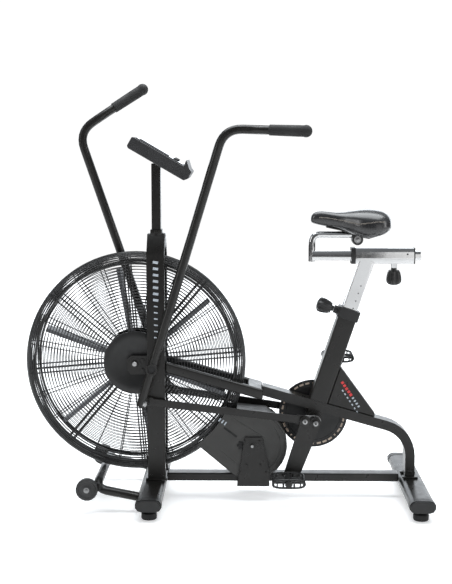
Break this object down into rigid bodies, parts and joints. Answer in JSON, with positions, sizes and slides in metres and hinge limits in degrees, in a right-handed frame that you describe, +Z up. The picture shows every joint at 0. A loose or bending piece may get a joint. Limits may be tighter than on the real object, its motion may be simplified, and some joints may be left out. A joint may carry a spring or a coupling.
{
  "type": "air bike",
  "caption": "Fan-resistance exercise bike with swinging handlebars linked to the cranks, caged fan wheel and adjustable saddle.",
  "frame": {"origin": "on the floor below the middle of the whole machine", "axes": "+Z up, fan at -X and rear at +X, the rider faces -X, +Y is the rider's right"},
  "size_m": [1.2896, 0.586, 1.3479],
  "materials": {
    "black_frame": "satin black powder coat",
    "guard_wire": "black coated wire",
    "fan_blade": "grey painted sheet steel",
    "chrome": "polished chrome plate",
    "steel": "zinc plated steel",
    "rubber": "matt black rubber",
    "saddle_cover": "glossy black synthetic leather",
    "console_face": "dark gloss display window",
    "console_shell": "textured black plastic",
    "wheel": "hard black plastic",
    "drive_cover": "matt dark grey plastic",
    "black_plastic": "moulded black plastic"
  },
  "bodies": {
    "frame": {"console_face": "console_face", "console_housing": "console_shell", "drive_bracket": "black_frame", "far_axle_plate": "black_frame", "far_drive_cover": "drive_cover", "far_front_cap": "black_plastic", "far_front_foot": "rubber", "far_guard": "guard_wire", "far_pivot": "steel", "far_rear_cap": "black_plastic", "far_rear_foot": "rubber", "front_fork": "black_frame", "front_stabilizer": "black_frame", "gusset": "black_frame", "lower_rail": "black_frame", "mast": "black_frame", "near_axle_plate": "black_frame", "near_drive_cover": "drive_cover", "near_front_cap": "black_plastic", "near_front_foot": "rubber", "near_guard": "guard_wire", "near_pivot": "steel", "near_rear_cap": "black_plastic", "near_rear_foot": "rubber", "rear_spine": "black_frame", "rear_stabilizer": "black_frame", "seat_collar": "black_plastic", "seat_tube": "black_frame", "transport_frame": "black_frame"},
    "crank": {"crank_axle": "steel", "chainwheel": "black_frame", "crank_guard_disc": "black_plastic", "near_crank_arm": "black_frame", "far_crank_arm": "black_frame", "near_crank_web": "steel", "far_crank_web": "steel"},
    "near_pedal": {"near_pedal": "black_plastic"},
    "far_pedal": {"far_pedal": "black_plastic"},
    "fan": {"fan_hub": "steel", "fan_blade_1": "fan_blade", "fan_blade_2": "fan_blade", "fan_blade_3": "fan_blade", "fan_blade_4": "fan_blade", "fan_blade_5": "fan_blade", "fan_blade_6": "fan_blade"},
    "jackshaft": {"jackshaft": "steel"},
    "near_handle": {"near_handlebar": "black_frame", "near_grip": "rubber"},
    "far_handle": {"far_handlebar": "black_frame", "far_grip": "rubber"},
    "near_link": {"near_link_rod": "black_frame"},
    "far_link": {"far_link_rod": "black_frame"},
    "near_wheel": {"near_transport_wheel": "wheel"},
    "far_wheel": {"far_transport_wheel": "wheel"},
    "post": {"seat_post": "chrome"},
    "slider": {"saddle_slider": "chrome", "saddle_clamp": "black_plastic"},
    "saddle": {"saddle": "saddle_cover"},
    "post_pin": {"post_knob": "black_plastic"},
    "slider_pin": {"slider_knob": "black_plastic"}
  },
  "joints": [
    {"name": "fan_spin", "type": "hinge", "parent": "frame", "child": "fan", "pos_m": [-0.28976, 0, 0.449], "axis": [0, 1, 0], "continuous": true},
    {"name": "crank_spin", "type": "hinge", "parent": "frame", "child": "crank", "pos_m": [0.28724, 0, 0.2665], "axis": [0, 1, 0], "continuous": true},
    {"name": "jackshaft_spin", "type": "hinge", "parent": "frame", "child": "jackshaft", "pos_m": [0.08624, 0, 0.183], "axis": [0, 1, 0], "continuous": true},
    {"name": "near_pedal_spin", "type": "hinge", "parent": "crank", "child": "near_pedal", "pos_m": [0.1995, -0.166, 0.09797], "axis": [0, 1, 0], "continuous": true},
    {"name": "far_pedal_spin", "type": "hinge", "parent": "crank", "child": "far_pedal", "pos_m": [0.37497, 0.166, 0.43503], "axis": [0, 1, 0], "continuous": true},
    {"name": "near_handle_swing", "type": "hinge", "parent": "frame", "child": "near_handle", "pos_m": [-0.23076, -0.118, 0.4425], "axis": [0, 1, 0], "range_deg": [-35.73, 0]},
    {"name": "far_handle_swing", "type": "hinge", "parent": "frame", "child": "far_handle", "pos_m": [-0.23076, 0.118, 0.4425], "axis": [0, 1, 0], "range_deg": [0, 35.73]},
    {"name": "near_link_swing", "type": "hinge", "parent": "near_handle", "child": "near_link", "pos_m": [-0.25815, -0.087, 0.33184], "axis": [0, 1, 0], "range_deg": [0, 35.73]},
    {"name": "far_link_swing", "type": "hinge", "parent": "far_handle", "child": "far_link", "pos_m": [-0.18837, 0.087, 0.33668], "axis": [0, 1, 0], "range_deg": [-35.73, 0]},
    {"name": "near_wheel_spin", "type": "hinge", "parent": "frame", "child": "near_wheel", "pos_m": [-0.42836, -0.211, 0.0794], "axis": [0, 1, 0], "continuous": true},
    {"name": "far_wheel_spin", "type": "hinge", "parent": "frame", "child": "far_wheel", "pos_m": [-0.42836, 0.211, 0.0794], "axis": [0, 1, 0], "continuous": true},
    {"name": "post_height", "type": "slide", "parent": "frame", "child": "post", "axis": [0.314, 0, 0.9494], "range_m": [-0.11, 0.07]},
    {"name": "saddle_fore_aft", "type": "slide", "parent": "post", "child": "slider", "axis": [1, 0, 0], "range_m": [-0.04, 0.09]},
    {"name": "saddle_tilt", "type": "hinge", "parent": "slider", "child": "saddle", "pos_m": [0.42024, 0, 0.844], "axis": [0, 1, 0], "range_deg": [-6, 6]},
    {"name": "post_pin_pull", "type": "slide", "parent": "frame", "child": "post_pin", "axis": [-0.9494, 0, 0.314], "range_m": [0, 0.01], "stiffness_N_per_m": 900, "springref_m": -0.003},
    {"name": "slider_pin_pull", "type": "slide", "parent": "post", "child": "slider_pin", "axis": [0, 0, -1], "range_m": [0, 0.01], "stiffness_N_per_m": 900, "springref_m": -0.003}
  ],
  "couplings": [
    {"joint": "crank_spin", "follows": "fan_spin", "ratio": 0.17307},
    {"joint": "jackshaft_spin", "follows": "fan_spin", "ratio": 0.5},
    {"joint": "far_handle_swing", "follows": "near_handle_swing", "ratio": -1},
    {"joint": "near_link_swing", "follows": "near_handle_swing", "ratio": -1},
    {"joint": "far_link_swing", "follows": "near_handle_swing", "ratio": 1}
  ]
}
